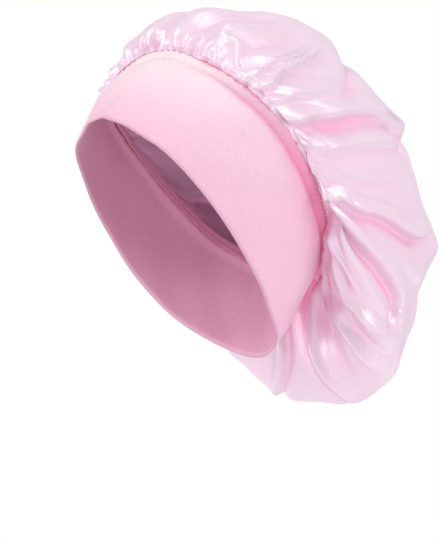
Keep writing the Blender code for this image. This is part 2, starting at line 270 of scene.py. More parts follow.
def knitMaterial(name, look, columns, rows):
    material, tree, shader = nodeSetup(name)
    nodes, links = tree.nodes, tree.links
    shader.inputs["Roughness"].default_value = look["roughness"]
    shader.inputs["Sheen Weight"].default_value = look["sheen"]
    shader.inputs["Sheen Roughness"].default_value = 0.45
    shader.inputs["Specular IOR Level"].default_value = 0.25
    weave = nodes.new("ShaderNodeGroup")
    weave.node_tree = knitGroup
    weave.inputs["Columns"].default_value = columns
    weave.inputs["Rows"].default_value = rows
    # the painted shade attribute picks the knit's colour, from pale to deep pink
    shade = nodes.new("ShaderNodeAttribute")
    shade.attribute_name = "shade"
    ramp = nodes.new("ShaderNodeValToRGB")
    ramp.color_ramp.elements[0].color = look["paleKnit"]
    ramp.color_ramp.elements[0].position = 0.0
    ramp.color_ramp.elements[1].color = look["deepKnit"]
    ramp.color_ramp.elements[1].position = 1.0
    middle = ramp.color_ramp.elements.new(0.35)
    middle.color = look["midKnit"]
    links.new(shade.outputs["Fac"], ramp.inputs["Fac"])
    hollowGlow(nodes, links, shader, shade, look, look["deepKnit"])
    fuzzMix = nodes.new("ShaderNodeMix")
    fuzzMix.data_type = "RGBA"
    fuzzMix.blend_type = "MULTIPLY"
    fuzzMix.inputs["B"].default_value = (0.93, 0.88, 0.91, 1)
    links.new(ramp.outputs["Color"], fuzzMix.inputs["A"])
    fuzzShare = nodes.new("ShaderNodeMapRange")
    fuzzShare.inputs["From Min"].default_value = 0.45
    fuzzShare.inputs["From Max"].default_value = 0.75
    fuzzShare.inputs["To Max"].default_value = 0.5
    links.new(weave.outputs["Fuzz"], fuzzShare.inputs["Value"])
    links.new(fuzzShare.outputs["Result"], fuzzMix.inputs["Factor"])
    links.new(fuzzMix.outputs["Result"], shader.inputs["Base Color"])
    bump = nodes.new("ShaderNodeBump")
    bump.inputs["Strength"].default_value = 0.35
    bump.inputs["Distance"].default_value = 0.00025
    links.new(weave.outputs["Height"], bump.inputs["Height"])
    fuzzBump = nodes.new("ShaderNodeBump")
    fuzzBump.inputs["Strength"].default_value = 0.25
    fuzzBump.inputs["Distance"].default_value = 0.0004
    links.new(weave.outputs["Fuzz"], fuzzBump.inputs["Height"])
    links.new(bump.outputs["Normal"], fuzzBump.inputs["Normal"])
    links.new(fuzzBump.outputs["Normal"], shader.inputs["Normal"])
    return material


satinLook = {
    # the satin in painted light and shade: pale on lit ridges, mid, and deep pink in the painted
    # shade of the hollows
    "paleSatin": (0.88, 0.68, 0.81, 1),
    "midSatin": (0.91, 0.62, 0.79, 1),
    "deepSatin": (0.95, 0.42, 0.64, 1),
    "roughness": 0.29,
    "tightRoughness": 0.14,    # added in the gathers at the joint
    "filament": 0.32,      # share of the light that the floats of the weave mirror
    "sheen": 0.05,
    "anisotropy": 0.35,
    "lustre": 0.7,
    "creaseHeight": 0.0013,
    "glow": 0.15,          # painted glow: emission in the hollows, standing in for light that comes through the cloth
}


def satinMaterial(name, look):
    material, tree, shader = nodeSetup(name)
    nodes, links = tree.nodes, tree.links
    shader.inputs["Sheen Weight"].default_value = look["sheen"]
    shader.inputs["Sheen Roughness"].default_value = 0.3
    shader.inputs["Anisotropic"].default_value = look["anisotropy"]
    shader.inputs["Specular IOR Level"].default_value = look["lustre"]
    shader.inputs["Metallic"].default_value = look["filament"]
    # the painted shade attribute picks the satin's colour
    hollow = nodes.new("ShaderNodeAttribute")
    hollow.attribute_name = "shade"
    ramp = nodes.new("ShaderNodeValToRGB")
    ramp.color_ramp.elements[0].color = look["paleSatin"]
    ramp.color_ramp.elements[0].position = 0.2
    ramp.color_ramp.elements[1].color = look["deepSatin"]
    ramp.color_ramp.elements[1].position = 1.0
    middle = ramp.color_ramp.elements.new(0.55)
    middle.color = look["midSatin"]
    links.new(hollow.outputs["Fac"], ramp.inputs["Fac"])
    hollowGlow(nodes, links, shader, hollow, look, look["deepSatin"])
    links.new(ramp.outputs["Color"], shader.inputs["Base Color"])
    where = nodes.new("ShaderNodeTexCoord")
    cloud = nodes.new("ShaderNodeTexNoise")
    cloud.inputs["Scale"].default_value = 35
    cloud.inputs["Detail"].default_value = 4
    links.new(where.outputs["Object"], cloud.inputs["Vector"])
    rough = nodes.new("ShaderNodeMapRange")
    rough.inputs["To Min"].default_value = look["roughness"] - 0.05
    rough.inputs["To Max"].default_value = look["roughness"] + 0.08
    links.new(cloud.outputs["Fac"], rough.inputs["Value"])
    uv = nodes.new("ShaderNodeUVMap")
    uv.uv_map = "clothMap"
    split = nodes.new("ShaderNodeSeparateXYZ")
    links.new(uv.outputs["UV"], split.inputs[0])
    tight = nodes.new("ShaderNodeMapRange")
    tight.inputs["From Max"].default_value = 0.12
    tight.inputs["To Min"].default_value = look["tightRoughness"]
    tight.inputs["To Max"].default_value = 0
    links.new(split.outputs["Y"], tight.inputs["Value"])
    rougher = nodes.new("ShaderNodeMath")
    links.new(rough.outputs["Result"], rougher.inputs[0])
    links.new(tight.outputs["Result"], rougher.inputs[1])
    links.new(rougher.outputs[0], shader.inputs["Roughness"])
    creases = []
    for across, along, detail in ((150, 9, 3), (46, 5, 3)):
        stretch = nodes.new("ShaderNodeMapping")
        stretch.inputs["Scale"].default_value = (across, along, 1)
        links.new(uv.outputs["UV"], stretch.inputs["Vector"])
        crease = nodes.new("ShaderNodeTexNoise")
        crease.inputs["Scale"].default_value = 1.0
        crease.inputs["Detail"].default_value = detail
        crease.inputs["Roughness"].default_value = 0.5
        crease.inputs["Distortion"].default_value = 0.5
        links.new(stretch.outputs["Vector"], crease.inputs["Vector"])
        creases.append(crease.outputs["Fac"])
    both = nodes.new("ShaderNodeMath")
    both.operation = "MULTIPLY_ADD"
    both.inputs[1].default_value = 2.0
    links.new(creases[1], both.inputs[0])
    links.new(creases[0], both.inputs[2])
    farShare = nodes.new("ShaderNodeMapRange")
    farShare.interpolation_type = "SMOOTHSTEP"
    farShare.inputs["From Min"].default_value = 0.55
    farShare.inputs["From Max"].default_value = 0.80
    links.new(split.outputs["Y"], farShare.inputs["Value"])
    rumple = nodes.new("ShaderNodeTexNoise")
    rumple.inputs["Scale"].default_value = 26
    rumple.inputs["Detail"].default_value = 3
    rumple.inputs["Distortion"].default_value = 1.5
    links.new(where.outputs["Object"], rumple.inputs["Vector"])
    relief = nodes.new("ShaderNodeMix")
    links.new(farShare.outputs["Result"], relief.inputs["Factor"])
    links.new(both.outputs[0], relief.inputs["A"])
    links.new(rumple.outputs["Fac"], relief.inputs["B"])
    bump = nodes.new("ShaderNodeBump")
    bump.inputs["Strength"].default_value = 0.5
    bump.inputs["Distance"].default_value = look["creaseHeight"]
    links.new(relief.outputs["Result"], bump.inputs["Height"])
    links.new(bump.outputs["Normal"], shader.inputs["Normal"])
    return material


def rolledGrid(name, columns, rows, place):
    # a flat grid rolled into a ring or bag: u runs round it and v from its edge
    mesh = bmesh.new()
    mesh.loops.layers.uv.new("clothMap")
    bmesh.ops.create_grid(mesh, x_segments=columns, y_segments=rows, size=1, calc_uvs=True)
    flat = np.array([vert.co for vert in mesh.verts])
    turn = (flat[:, 0] + 1) * math.pi
    share = (flat[:, 1] + 1) / 2
    points, shade = place(turn, share)
    shadeLayer = mesh.verts.layers.float.new("shade")
    for vert, point, tone in zip(mesh.verts, points.tolist(), shade.tolist()):
        vert.co = point
        vert[shadeLayer] = tone
    mesh.verts.ensure_lookup_table()
    seamPairs = {}
    for row in range(rows + 1):
        seamPairs[mesh.verts[row * (columns + 1) + columns]] = mesh.verts[row * (columns + 1)]
    bmesh.ops.weld_verts(mesh, targetmap=seamPairs)
    bmesh.ops.recalc_face_normals(mesh, faces=mesh.faces[:])
    data = bpy.data.meshes.new(name)
    mesh.to_mesh(data)
    mesh.free()
    data.shade_smooth()
    item = bpy.data.objects.new(name, data)
    scene.collection.objects.link(item)
    return item


# the band

bandMake = {
    "columns": 360,
    "rows": 64,
    "thickness": 0.0022,
    "bow": 0.0025,
    "groove": 0.0030,      # the pull inwards just under the joint
    "grooveAt": 0.905,
    "grooveWide": 0.036,
    "pucker": 0.0006,      # ripples from the gathering
    "puckerCount": 84,
    "tone": 0.36,          # painted shade: how deep the pink is painted, 0 pale and 1 deep, paler towards the lit front
    "underJointShade": 0.46,      # painted shade added under the joint, farther down, in the groove and at the nape, where the bag shades the band
    "lowerBackShade": 0.16,
    "grooveShade": 0.34,
    "napeShade": 0.34,
    # one painted shade for the whole inner face
    "innerShade": 0.50,
}


def grooveDip(height):
    make = bandMake
    return make["groove"] * np.exp(-((height - make["grooveAt"]) / make["grooveWide"]) ** 2)


def bandPlace(turn, share):
    # the section runs down the inner face, round the fold at the lower edge and up the outer face
    make = bandMake
    profile = share * 2 - 1
    height = np.abs(profile)
    fold = make["thickness"] / 2 / bonnetSizes["bandWidth"]
    height = fold + (1 - fold) * height
    point, outward, upward = bandFrame(turn, height)
    bow = make["bow"] * np.sin(math.pi * height)
    dip = grooveDip(height)
    drift = 0.9 * np.sin(3 * turn + 1.0) + 0.6 * np.sin(11 * turn + 2.0)
    ripple = make["pucker"] * np.cos(make["puckerCount"] * turn + drift)
    ripple = ripple * np.clip((height - 0.78) / 0.22, 0, 1) * (0.6 + 0.4 * np.sin(9 * turn))
    slack = 0.0007 * np.sin(5 * turn + 7 * height) + 0.0004 * np.sin(13 * turn - 9 * height + 1)
    near = np.clip(np.abs(profile) / 0.03, 0, 1)
    side = np.sign(profile) * np.sqrt(1 - (1 - near) ** 2)
    half = make["thickness"] / 2
    point = point + outward * (bow - dip + ripple + slack - half)[:, None]
    point = point + outward * (side * half)[:, None]
    point = point - upward * (half * (1 - near))[:, None]
    # painted shade: deeper pink under the joint, lower on the back, in the groove's crease and at the
    # nape, paler towards the lit front, one value on the inner face
    aside = asideOf(turn)
    reach = 0.11 + 0.11 * np.clip((aside - 1.3) / 0.6, 0, 1)
    deep = np.exp(-((1 - height) / reach) ** 2) * np.clip((aside - 0.55) / 0.9, 0, 1)
    lower = np.exp(-((1 - height) / 0.36) ** 2) * np.clip((aside - 1.35) / 0.7, 0, 1)
    front = 0.5 + 0.5 * np.cos(turn)
    crease = np.exp(-((height - make["grooveAt"]) / 0.028) ** 2)
    crease = crease * np.clip((aside - 0.45) / 0.5, 0, 1)
    crease *= 1 - 0.6 * np.clip((aside - 1.4) / 0.5, 0, 1)
    nape = np.clip((aside - 2.25) / 0.45, 0, 1) * (0.3 + 0.7 * height)
    shade = (make["tone"] - make["tone"] * front ** 2 * height + make["underJointShade"] * deep
             + make["lowerBackShade"] * lower + make["grooveShade"] * crease + make["napeShade"] * nape)
    shade = np.where(profile < 0, make["innerShade"], shade)
    return point, np.clip(shade, 0, 1)


print("band: rolling the knit")
band = rolledGrid("bandCloth", bandMake["columns"], bandMake["rows"], bandPlace)
band.data.materials.append(knitMaterial("stretchKnit", bandLook, 3400, 620))
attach(band, "root")
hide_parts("band")

# the satin bag

crownMake = {
    "columns": 420,
    "rows": 112,
    "rowGrowth": 1.12,     # rows lie closer together near the joint
    "evenFrom": 0.12,      # from here on the columns are evenly spread
    "thickness": 0.0008,
    "puffCount": 56,       # the small puffs between the stitches of the joint
    "puffHeight": 0.0032,
    "puffReach": 0.15,
    "calmBelow": 0.70,     # how much the pleats fade on the hanging part
    "jointRise": 0.0016,   # how far the bag stands up over the joint
    "fall": 2.5,           # how much steeper the falling side of a fold is
    "lean": 0.30,          # how far its crest leans over that side
    "crest": 0.20,         # how round its crest is
    "farSide": 0.75,       # height of the folds on the side away from the view
    "farShift": -4.0,      # and how far they are turned, in degrees
    "soften": 0.25,        # how much the grid's steps are smoothed away
    "hollowRounds": 70,    # rounds of smoothing that a hollow's depth is measured from
    "hollowDepth": 0.0110,
    "frames": 20,          # steps of the cloth simulation
    "quality": 5,
    "mass": 0.12,
    "stiffness": 20,
    "bending": 1,
    "pin": 1,
    "weight": 0.11,        # share of the full weight that pulls it down
    "hold": 0.12,          # how firmly the settling cloth keeps its worn form
    "mostMove": 0.004,     # the movement stays below this
}

pleatLayers = (
    # around, along, high, reach, seed
    (26, 2.2, 0.0050, 0.45, 3.1),
    (54, 2.2, 0.0040, 0.26, 7.7),
    (96, 3.0, 0.0008, 0.22, 12.3),
)

crownFolds = (
    # wide, high and drop as shares, then turn and way of the fold's line from the joint outwards;
    # a fold with a drop falls steeply on the side of the greater turn and hollows below it
    (0.060, 0.010, 0, ((-6, 0.08), (-4, 0.28), (2, 0.52))),
    (0.045, -0.016, 0, ((3, 0.06), (4, 0.22), (8, 0.42))),
    (0.045, 0.012, 0, ((12, 0.06), (10, 0.24), (14, 0.46))),
    (0.045, -0.024, 0, ((25, 0.08), (20, 0.24), (18, 0.42))),
    (0.045, 0.018, 0.4, ((36, 0.05), (30, 0.18), (22, 0.42))),
    (0.030, 0.016, 0, ((43, 0.03), (42, 0.12), (36, 0.20), (31, 0.16))),
    (0.040, -0.022, 0, ((44, 0.10), (40, 0.26), (31, 0.44))),
    (0.030, 0.020, 0.5, ((49, 0.04), (50, 0.20), (45, 0.32), (36, 0.44))),
    (0.034, 0.024, 0.6, ((54, 0.03), (56, 0.20), (47, 0.36), (39, 0.46))),
    (0.030, 0.014, 0.3, ((60, 0.03), (63, 0.20), (60, 0.33), (55, 0.43))),
    (0.060, -0.034, 0, ((20, 0.62), (36, 0.56), (52, 0.50), (60, 0.44))),
    (0.100, -0.050, 0, ((14, 0.62), (28, 0.65), (40, 0.68))),
    (0.050, 0.034, 1.1, ((68, 0.02), (71, 0.21), (67, 0.35), (64, 0.45), (60, 0.57),
                         (52, 0.71), (45, 0.80))),
    (0.030, 0.014, 0.7, ((75, 0.02), (76, 0.14), (74, 0.26))),
    (0.050, 0.024, 0.6, ((79, 0.02), (79, 0.27), (75, 0.40), (72, 0.52), (66, 0.68))),
    (0.095, -0.066, 0, ((60, 0.68), (68, 0.73), (77, 0.78), (87, 0.82))),
    (0.026, 0.008, 0.4, ((86, 0.03), (83, 0.26), (84, 0.48))),
    (0.030, 0.010, 0.4, ((93, 0.03), (86, 0.22), (88, 0.50), (90, 0.62))),
    (0.040, 0.040, 0.8, ((101, 0.04), (91, 0.25), (90, 0.40), (91, 0.53), (97, 0.80))),
    (0.034, 0.016, 0, ((97, 0.46), (101, 0.58), (108, 0.68))),
    (0.044, 0.040, 1.1, ((103, 0.05), (96, 0.18), (93, 0.30), (94, 0.40), (100, 0.46),
                         (108, 0.51), (114, 0.50), (116, 0.44))),
    (0.026, 0.022, 0, ((106, 0.16), (104, 0.26), (104, 0.36), (109, 0.42))),
    (0.036, 0.044, 0, ((112, 0.10), (118, 0.13), (127, 0.16), (127, 0.22), (118, 0.31),
                       (113, 0.44))),
    (0.036, -0.016, 0, ((140, 0.21), (134, 0.27), (126, 0.34), (124, 0.42))),
    (0.050, 0.024, 0, ((128, 0.10), (138, 0.12), (144, 0.16), (138, 0.22))),
    (0.032, 0.042, 0, ((118, 0.02), (127, 0.05), (138, 0.07), (152, 0.12), (146, 0.20),
                       (138, 0.31), (136, 0.38))),
    (0.060, -0.012, 0, ((160, 0.14), (160, 0.24), (152, 0.34))),
    (0.036, 0.040, 0.8, ((155, 0.04), (168, 0.11), (174, 0.20), (174, 0.27), (171, 0.35),
                         (163, 0.46))),
    (0.060, 0.012, 0, ((186, 0.10), (190, 0.30), (186, 0.46))),
    (0.070, -0.032, 0, ((116, 0.60), (122, 0.72), (132, 0.86))),
    (0.080, -0.020, 0, ((126, 0.58), (136, 0.64), (142, 0.62))),
    (0.060, 0.012, 0, ((146, 0.54), (150, 0.66), (152, 0.82))),
    (0.060, -0.022, 0, ((165, 0.50), (166, 0.66), (170, 0.84))),
)

farFolds = (
    # the same for the far end of the bag, where the folds cross from side to side
    (0.110, 0.030, 0, ((-64, 0.72), (-70, 0.86), (-150, 0.93), (170, 0.86), (160, 0.74))),
    (0.090, 0.026, 0, ((-20, 0.70), (-12, 0.84), (20, 0.92), (80, 0.90))),
    (0.100, -0.028, 0, ((-100, 0.70), (-110, 0.84), (-140, 0.94))),
    (0.080, 0.022, 0, ((100, 0.96), (110, 0.86), (104, 0.76))),
    (0.080, 0.020, 0, ((-42, 0.74), (-36, 0.88), (-20, 0.96))),
    (0.090, -0.026, 0, ((4, 0.80), (30, 0.86), (54, 0.84))),
    (0.070, 0.018, 0, ((-170, 0.76), (-160, 0.88), (-120, 0.96))),
)


def foldLine(fold, side):
    # a smooth line through the fold's points, laid on the bag
    shift = 0.0 if side > 0 else crownMake["farShift"]
    marks = np.array(fold[3])
    marks = np.vstack((2 * marks[0] - marks[1], marks, 2 * marks[-1] - marks[-2]))
    rows = []
    for before, start, end, after in zip(marks[:-3], marks[1:-2], marks[2:-1], marks[3:]):
        for share in np.arange(5) / 5:
            rows.append(splineBetween(before, start, end, after, share))
    rows = np.array(rows + [marks[-2]])
    return crownBase(side * np.radians(rows[:, 0] + shift), np.clip(rows[:, 1], 0, 1))


def foldProfile(reach, crest):
    # nearly straight slopes up to a narrow rounded crest, as pressed satin folds
    height = np.exp(-1.3 * (np.sqrt(reach * reach + crest * crest) - crest))
    return height * np.clip(1 - (reach / 2.6) ** 2, 0, 1) ** 2


def foldShape(points, normals, line, wide, falling):
    # crest and hollow of one fold, from 0 to 1 at each point, and the way its crest leans
    make = crownMake
    crest, hollow = np.zeros(len(points)), np.zeros(len(points))
    lean, total = np.zeros((len(points), 3)), np.full(len(points), 1e-9)
    for index, (start, end) in enumerate(zip(line[:-1], line[1:])):
        along = end - start
        share = np.clip((points - start) @ along / max(along @ along, 1e-9), 0, 1)
        gap = points - start - share[:, None] * along
        length = np.linalg.norm(gap, axis=1)
        place = (index + share) / (len(line) - 1)
        ends = np.clip(np.minimum(place / 0.10, (1 - place) / 0.15), 0, 1) ** 0.7
        reach = length / wide
        soft = foldProfile(reach, make["crest"])
        if falling:
            # the steep side is that of the greater turn
            across = falling * np.cross(normals, along / np.linalg.norm(along))
            steep = np.clip(0.5 + 1.5 * (gap * across).sum(axis=1) / np.maximum(length, 1e-6), 0, 1)
            soft = soft * (1 - steep) + foldProfile(reach * make["fall"], make["crest"]) * steep
            begin = np.clip(reach / 0.5, 0, 1)
            below = begin * begin * (3 - 2 * begin) * np.exp(-(np.maximum(reach - 0.5, 0) / 0.9) ** 2)
            hollow = np.maximum(hollow, below * steep * ends)
            weight = (soft * ends) ** 4
            lean += across * weight[:, None]
            total += weight
        crest = np.maximum(crest, soft * ends)
    return crest, hollow, lean / total[:, None]


def ridgedNoise(turn, way, around, along, seed):
    # 1 on thin wandering crests that run from the joint to the far end, 0 between them
    radius = around / math.tau
    places = zip((radius * np.cos(turn)).tolist(), (radius * np.sin(turn)).tolist(),
                 (way * along + seed).tolist())
    values = np.array([noise.noise(Vector(place)) for place in places])
    return np.clip(1 - 2.6 * (np.sqrt(values * values + 0.0009) - 0.03), 0, 1)


def gathers(turn, way):
    make = crownMake
    aside = np.degrees(asideOf(turn))
    below = np.clip((aside - 62) / 30, 0, 1)
    wander = (1.3 * np.sin(5 * turn + 0.4) + 0.8 * np.sin(17 * turn + 1.2)
              + 3.0 * way * np.sin(9 * turn))
    puff = 1.7 * np.abs(np.cos((make["puffCount"] * turn + wander) / 2)) ** 0.8 - 1
    puff *= make["puffHeight"] * (0.7 + 0.3 * np.sin(13 * turn + 2.2)) * (1 - 0.5 * below)
    puff *= ((0.35 + 0.65 * np.minimum(1, way / 0.012))
             * np.clip(1 - way / make["puffReach"], 0, 1) ** 1.2)
    height = puff
    for around, along, high, reach, seed in pleatLayers:
        fade = np.minimum(1, way / 0.025) * np.exp(-way / reach) * (1 - make["calmBelow"] * below)
        fade *= np.clip((0.86 - way) / 0.24, 0, 1)
        height = height + high * fade * (ridgedNoise(turn, way, around, along, seed) - 0.4)
    return height


def longFolds(base, normals, way):
    # heights of the long folds and the shift that leans their crests over
    heights, shift = np.zeros(len(way)), np.zeros((len(way), 3))
    width = bonnetSizes["crownWidth"]
    for side, strength, folds in ((1, 1.0, crownFolds), (-1, crownMake["farSide"], crownFolds),
                                  (1, 1.0, farFolds)):
        for fold in folds:
            wide, high, drop = fold[0] * width, fold[1] * width * strength, fold[2]
            line = foldLine(fold, side)
            near = np.all((base > line.min(axis=0) - 2.7 * wide)
                          & (base < line.max(axis=0) + 2.7 * wide), axis=1)
            crest, hollow, lean = foldShape(base[near], normals[near], line, wide,
                                            -side if drop else 0)
            heights[near] += high * (crest - drop * hollow)
            shift[near] += crownMake["lean"] * high * lean * crest[:, None] ** 2
    near = np.minimum(1, way / 0.035)
    return heights * near, shift * near[:, None]


def evenTurns(around, way):
    # columns spread evenly round each row of the bag, and with the band's turns at the joint;
    # they are measured at steps that lie closer together where the boxy rows bend sharply
    near = np.linspace(-1, 1, 201)
    near = np.sign(near) * np.abs(near) ** 1.82 * math.pi / 4
    dense = np.concatenate([near + k * math.pi / 2 for k in range(5)])
    dense = np.unique(np.clip(dense, 0, math.tau))
    turn = np.array(around)
    for level in np.unique(way):
        line = crownBase(dense, np.full(len(dense), min(level, 0.97)))
        length = np.concatenate(([0], np.cumsum(np.linalg.norm(np.diff(line, axis=0), axis=1))))
        blend = min(1, level / crownMake["evenFrom"])
        even = dense * (1 - blend) + length * (blend * math.tau / length[-1])
        here = way == level
        turn[here] = np.interp(around[here], even, dense)
    return turn


def crownPlace(around, share):
    way = share ** crownMake["rowGrowth"]
    turn = evenTurns(around, way)
    base = crownBase(turn, way)
    normals = crownNormals(turn, way)
    heights, shift = longFolds(base, normals, way)
    upward = bandFrame(turn, np.ones(len(turn)))[2]
    rise = crownMake["jointRise"] * np.minimum(1, way / 0.016) * np.clip(1 - way / 0.15, 0, 1)
    points = base + normals * (heights + gathers(around, way))[:, None] + shift
    return points + upward * rise[:, None], way


def vertexArray(mesh):
    points = np.empty(len(mesh.vertices) * 3)
    mesh.vertices.foreach_get("co", points)
    return points.reshape(-1, 3)


def smoothPoints(mesh, points, rounds):
    edges = np.empty(len(mesh.edges) * 2, dtype=np.int64)
    mesh.edges.foreach_get("vertices", edges)
    edges = edges.reshape(-1, 2)
    count = np.bincount(edges.ravel(), minlength=len(points))[:, None]
    for _ in range(rounds):
        total = np.stack([np.bincount(edges[:, 0], points[edges[:, 1], axis], len(points))
                          + np.bincount(edges[:, 1], points[edges[:, 0], axis], len(points))
                          for axis in range(3)], axis=1)
        points = total / count
    return points


def softenKinks(item, way, make):
    # two light rounds of smoothing take the grid's steps off the slanting crests, past the joint
    mesh = item.data
    points = vertexArray(mesh)
    share = make["soften"] * np.clip((way - 0.02) / 0.05, 0, 1)[:, None]
    for _ in range(2):
        points = points + (smoothPoints(mesh, points, 1) - points) * share
    mesh.vertices.foreach_set("co", points.ravel())
    mesh.update()


def settleCloth(item, hold, make):
    # the bag sags a little from its worn form under part of its weight, sewn fast at the joint
    mesh = item.data
    worn = vertexArray(mesh)
    group = item.vertex_groups.new(name="hold")
    levels = np.round(np.clip(hold, 0, 1) * 60).astype(int)
    for level in np.unique(levels):
        group.add(np.nonzero(levels == level)[0].tolist(), level / 60, "REPLACE")
    cloth = item.modifiers.new("settle", "CLOTH")
    settings = cloth.settings
    settings.quality = make["quality"]
    settings.mass = make["mass"]
    settings.tension_stiffness = make["stiffness"]
    settings.compression_stiffness = make["stiffness"]
    settings.shear_stiffness = make["stiffness"] / 3
    settings.bending_stiffness = make["bending"]
    settings.tension_damping = settings.compression_damping = settings.shear_damping = 5
    settings.bending_damping = 0.5
    settings.vertex_group_mass = "hold"
    settings.pin_stiffness = make["pin"]
    settings.effector_weights.gravity = make["weight"]
    cloth.collision_settings.use_collision = False
    cloth.point_cache.frame_start = 1
    cloth.point_cache.frame_end = make["frames"]
    for frameNumber in range(1, make["frames"] + 1):
        scene.frame_set(frameNumber)
    settled = item.evaluated_get(bpy.context.evaluated_depsgraph_get()).data
    moved = smoothPoints(mesh, vertexArray(settled) - worn, 4)
    item.modifiers.remove(cloth)
    item.vertex_groups.clear()
    scene.frame_set(1)
    length = np.linalg.norm(moved, axis=1, keepdims=True)
    limit = make["mostMove"]
    print("  the cloth settles", round(float(np.median(length)) * 1000, 1), "mm, at most",
          round(float(length.max()) * 1000, 1))
    moved *= limit * np.tanh(length / limit) / np.maximum(length, 1e-9)
    mesh.vertices.foreach_set("co", (worn + moved).ravel())
    mesh.update()


def hollowShade(item, rounds, depth, turn, way):
    # painted shade: how far each point lies under the smoothed surface, valleys near 1 and ridges
    # near 0, and more painted shade where the bag tucks under at the low back of the joint
    mesh = item.data
    points = vertexArray(mesh)
    normals = np.empty(len(points) * 3)
    mesh.vertex_normals.foreach_get("vector", normals)
    under = ((smoothPoints(mesh, points, rounds) - points) * normals.reshape(-1, 3)).sum(axis=1)
    aside = np.degrees(asideOf(turn))
    tuckedShade = np.clip((aside - 152 - 90 * way) / 14, 0, 1) * np.exp(-(way / 0.36) ** 2)
    return np.clip(0.34 + under / depth + 0.50 * tuckedShade, 0, 1)


print("crown: rolling the satin bag")
crown = rolledGrid("crownCloth", crownMake["columns"], crownMake["rows"], crownPlace)
crownWay = np.empty(len(crown.data.vertices), dtype=np.float32)
crown.data.attributes["shade"].data.foreach_get("value", crownWay)
softenKinks(crown, crownWay, crownMake)
crownColumn = np.arange(len(crownWay)) % crownMake["columns"]
crownTurn = evenTurns(crownColumn / crownMake["columns"] * math.tau, crownWay)
print("crown: settling the cloth")
firm = np.clip((0.06 - crownWay) / 0.05, 0, 1)
hold = crownMake["hold"] + (1 - crownMake["hold"]) * firm
settleCloth(crown, hold, crownMake)
crownShade = hollowShade(crown, crownMake["hollowRounds"], crownMake["hollowDepth"],
                         crownTurn, crownWay)
crown.data.attributes["shade"].data.foreach_set("value", crownShade.astype(np.float32))
wall = crown.modifiers.new("wall", "SOLIDIFY")
wall.thickness = crownMake["thickness"]
wall.offset = -1
crown.data.materials.append(satinMaterial("paleSatin", satinLook))
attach(crown, "root")
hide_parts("crown")

# the seam allowance inside the joint

seamMake = {
    "columns": 360,
    "rows": 20,
    "width": 0.0085,
    "thickness": 0.0020,
    "rise": 0.0012,
}


def seamPlace(turn, share):
    make = seamMake
    angle = share * math.tau
    middleIn = bandMake["thickness"] + bonnetSizes["fitGap"] + make["thickness"] / 2
    ripple = 0.0003 * np.cos(bandMake["puckerCount"] * turn + 1.3 * np.sin(5 * turn))
    inward = middleIn - np.cos(angle) * make["thickness"] / 2 + ripple * (1 - np.cos(angle)) / 2
    upwards = make["rise"] - make["width"] / 2 + np.sin(angle) * make["width"] / 2
    point, outward, upward = bandFrame(turn, np.ones(len(turn)))
    dip = grooveDip(1 + upwards / bonnetSizes["bandWidth"])
    points = point - outward * (inward + dip)[:, None] + upward * upwards[:, None]
    # one fixed painted shade for the allowance, deeper than the band's mid pink
    return points, np.full(len(turn), 0.6)


print("seam: rolling the overlocked allowance")
seam = rolledGrid("seamCloth", seamMake["columns"], seamMake["rows"], seamPlace)
seam.data.materials.append(knitMaterial("overlockThread", bandLook, 3600, 120))
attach(seam, "root")
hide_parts("gathered_seam")

# the thread loops that show along the joint

stitchMake = {
    "count": 176,
    "length": 0.0030,
    "radius": 0.00032,
    "slant": 0.0012,
    "cordRadius": 0.00060,
    "threadTone": (0.90, 0.62, 0.74, 1),
    # the cord in the joint: partly the seam's darker pink thread, partly painted shade of the crevice
    "shadowTone": (0.92, 0.30, 0.50, 1),
}


def ringAlong(mesh, points, radius, sides, closed):
    # a round cord through the points, extruded ring by ring
    count = len(points)
    first = previous = None
    for index, point in enumerate(points):
        after = points[(index + 1) % count] if closed or index < count - 1 else point
        before = points[index - 1] if closed or index > 0 else point
        turned = (after - before).to_track_quat("Z", "Y").to_matrix().to_4x4()
        turned.translation = point
        made = bmesh.ops.create_circle(mesh, segments=sides, radius=radius, matrix=turned)["verts"]
        edges = list({edge for vert in made for edge in vert.link_edges})
        if previous:
            bmesh.ops.bridge_loops(mesh, edges=previous + edges)
        first, previous = first or edges, edges
    if closed:
        bmesh.ops.bridge_loops(mesh, edges=first + previous)
    else:
        for loop in (first, previous):
            bmesh.ops.edgeloop_fill(mesh, edges=loop)


def seamStitches():
    make = stitchMake
    mesh = bmesh.new()
    turns = np.arange(240) / 240 * math.tau
    edge, outward, upward = bandFrame(turns, np.ones(len(turns)))
    middle = edge - outward * 0.0004 + upward * 0.0001
    # the deep pink cord along the joint, coloured partly as painted shade
    ringAlong(mesh, [Vector(point) for point in middle], make["cordRadius"], 6, True)
    cordFaces = len(mesh.faces)
    turns = np.arange(make["count"]) / make["count"] * math.tau
    edge, outward, upward = bandFrame(turns, np.ones(len(turns)))
    around = np.cross(upward, outward)
    for index in range(make["count"]):
        lean = 1 if index % 2 else 0.4
        loop = []
        for share in np.linspace(-1, 1, 5):
            high = 0.0007 * (1 - share * share) - 0.0002
            loop.append(Vector(edge[index] + outward[index] * high
                               + upward[index] * share * make["length"] / 2
                               + around[index] * share * lean * make["slant"]))
        ringAlong(mesh, loop, make["radius"], 5, False)
    bmesh.ops.recalc_face_normals(mesh, faces=mesh.faces[:])
    mesh.faces.ensure_lookup_table()
    for face in mesh.faces[cordFaces:]:
        face.material_index = 1
    for face in mesh.faces:
        face.smooth = True
    data = bpy.data.meshes.new("seamStitches")
    mesh.to_mesh(data)
    mesh.free()
    item = bpy.data.objects.new("seamStitches", data)
    scene.collection.objects.link(item)
    return item


